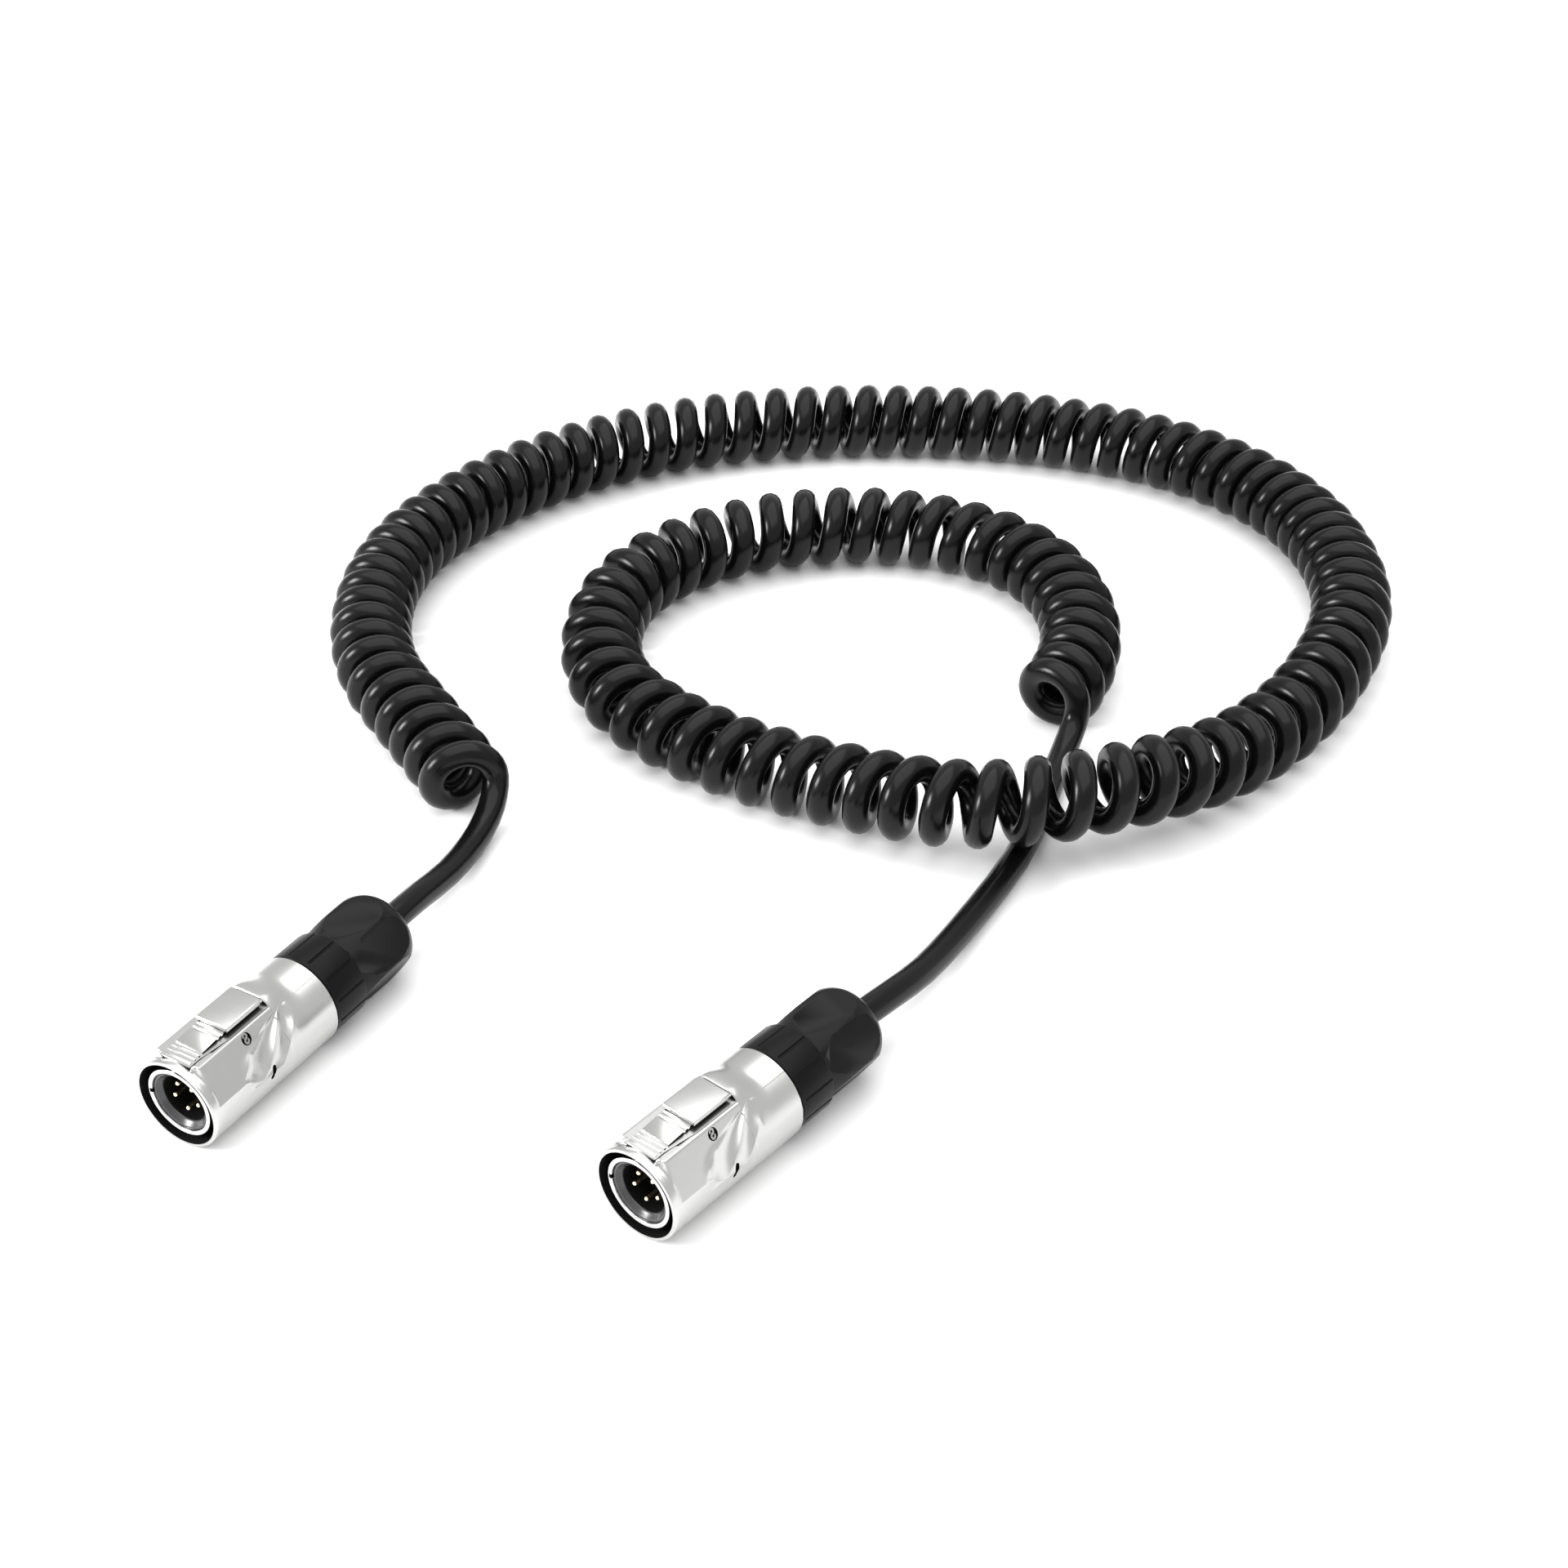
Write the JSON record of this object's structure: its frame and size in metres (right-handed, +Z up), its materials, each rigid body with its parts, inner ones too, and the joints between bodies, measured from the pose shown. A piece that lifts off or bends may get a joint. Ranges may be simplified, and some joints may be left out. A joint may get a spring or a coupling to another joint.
{
  "type": "coiled connector cable",
  "caption": "Coiled black cable laid in a double loop, with a metal-shelled, push-lock multi-contact plug, latch lever and cable gland on each end.",
  "frame": {"origin": "on the floor, at the middle of the box round the two plugs", "axes": "+Z up from the floor, +Y along plug b's axis from its mating face to its cable gland, +X to the right of that plug"},
  "size_m": [0.2855, 0.4237, 0.034],
  "materials": {
    "shell_metal": "satin nickel plate",
    "latch_metal": "satin nickel plate",
    "pin_steel": "spring steel",
    "barrel_metal": "bright nickel plate",
    "seal_rubber": "matte",
    "face_seal_rubber": "smooth, semi-gloss",
    "insert_black": "moulded, matte",
    "contact_gold": "thin gold plate",
    "retainer_metal": "turned, nickel plate",
    "core_insulation": "extruded insulation",
    "sleeve_black": "moulded, semi-matte",
    "claw_plastic": "moulded nylon",
    "washer_plastic": "nylon washer",
    "nut_black": "moulded, semi-matte",
    "cord_jacket": "polyurethane jacket, semi-gloss"
  },
  "bodies": {
    "cable": {"shell_a": "shell_metal", "latch_pin_a": "pin_steel", "latch_spring_a": "pin_steel", "mating_barrel_a": "barrel_metal", "barrel_seal_a": "seal_rubber", "face_seal_a": "face_seal_rubber", "insert_a": "insert_black", "contacts_a": "contact_gold", "insert_retainer_a": "retainer_metal", "core_wires_a": "core_insulation", "body_gasket_a": "seal_rubber", "back_sleeve_a": "sleeve_black", "gland_seal_a": "seal_rubber", "gland_claw_a": "claw_plastic", "shell_b": "shell_metal", "latch_pin_b": "pin_steel", "latch_spring_b": "pin_steel", "mating_barrel_b": "barrel_metal", "barrel_seal_b": "seal_rubber", "face_seal_b": "face_seal_rubber", "insert_b": "insert_black", "contacts_b": "contact_gold", "insert_retainer_b": "retainer_metal", "core_wires_b": "core_insulation", "body_gasket_b": "seal_rubber", "back_sleeve_b": "sleeve_black", "gland_seal_b": "seal_rubber", "gland_claw_b": "claw_plastic", "cord_tail_a": "cord_jacket", "cord_tail_b": "cord_jacket", "cord_coil": "cord_jacket"},
    "latch_a": {"latch_lever_a": "latch_metal"},
    "latch_b": {"latch_lever_b": "latch_metal"},
    "washer_a": {"thrust_washer_a": "washer_plastic"},
    "washer_b": {"thrust_washer_b": "washer_plastic"},
    "gland_nut_a": {"gland_nut_a": "nut_black"},
    "gland_nut_b": {"gland_nut_b": "nut_black"}
  },
  "joints": [
    {"name": "latch_a_press", "type": "hinge", "parent": "cable", "child": "latch_a", "pos_m": [-0.04814, -0.04401, 0.0229], "axis": [-0.988, -0.1547, 0], "range_deg": [0, 4.5], "stiffness_Nm_per_rad": 0.3, "springref_deg": -4.58, "deforming": ["latch_spring_a"]},
    {"name": "washer_a_slide", "type": "slide", "parent": "cable", "child": "washer_a", "axis": [-0.1547, 0.988, 0], "range_m": [0, 0.003]},
    {"name": "gland_nut_a_turn", "type": "hinge", "parent": "washer_a", "child": "gland_nut_a", "pos_m": [-0.05561, 0.0037, 0.012], "axis": [-0.1547, 0.988, 0], "range_deg": [0, 720]},
    {"name": "latch_b_press", "type": "hinge", "parent": "cable", "child": "latch_b", "pos_m": [0.0556, 0.0034, 0.0229], "axis": [-1, 0, 0], "range_deg": [0, 4.5], "stiffness_Nm_per_rad": 0.3, "springref_deg": -4.58, "deforming": ["latch_spring_b"]},
    {"name": "washer_b_slide", "type": "slide", "parent": "cable", "child": "washer_b", "axis": [0, 1, 0], "range_m": [0, 0.003]},
    {"name": "gland_nut_b_turn", "type": "hinge", "parent": "washer_b", "child": "gland_nut_b", "pos_m": [0.0556, 0.0517, 0.012], "axis": [0, 1, 0], "range_deg": [0, 720]}
  ],
  "couplings": [
    {"joint": "washer_a_slide", "follows": "gland_nut_a_turn", "m_per_rad": 0.00023873},
    {"joint": "washer_b_slide", "follows": "gland_nut_b_turn", "m_per_rad": 0.00023873}
  ]
}
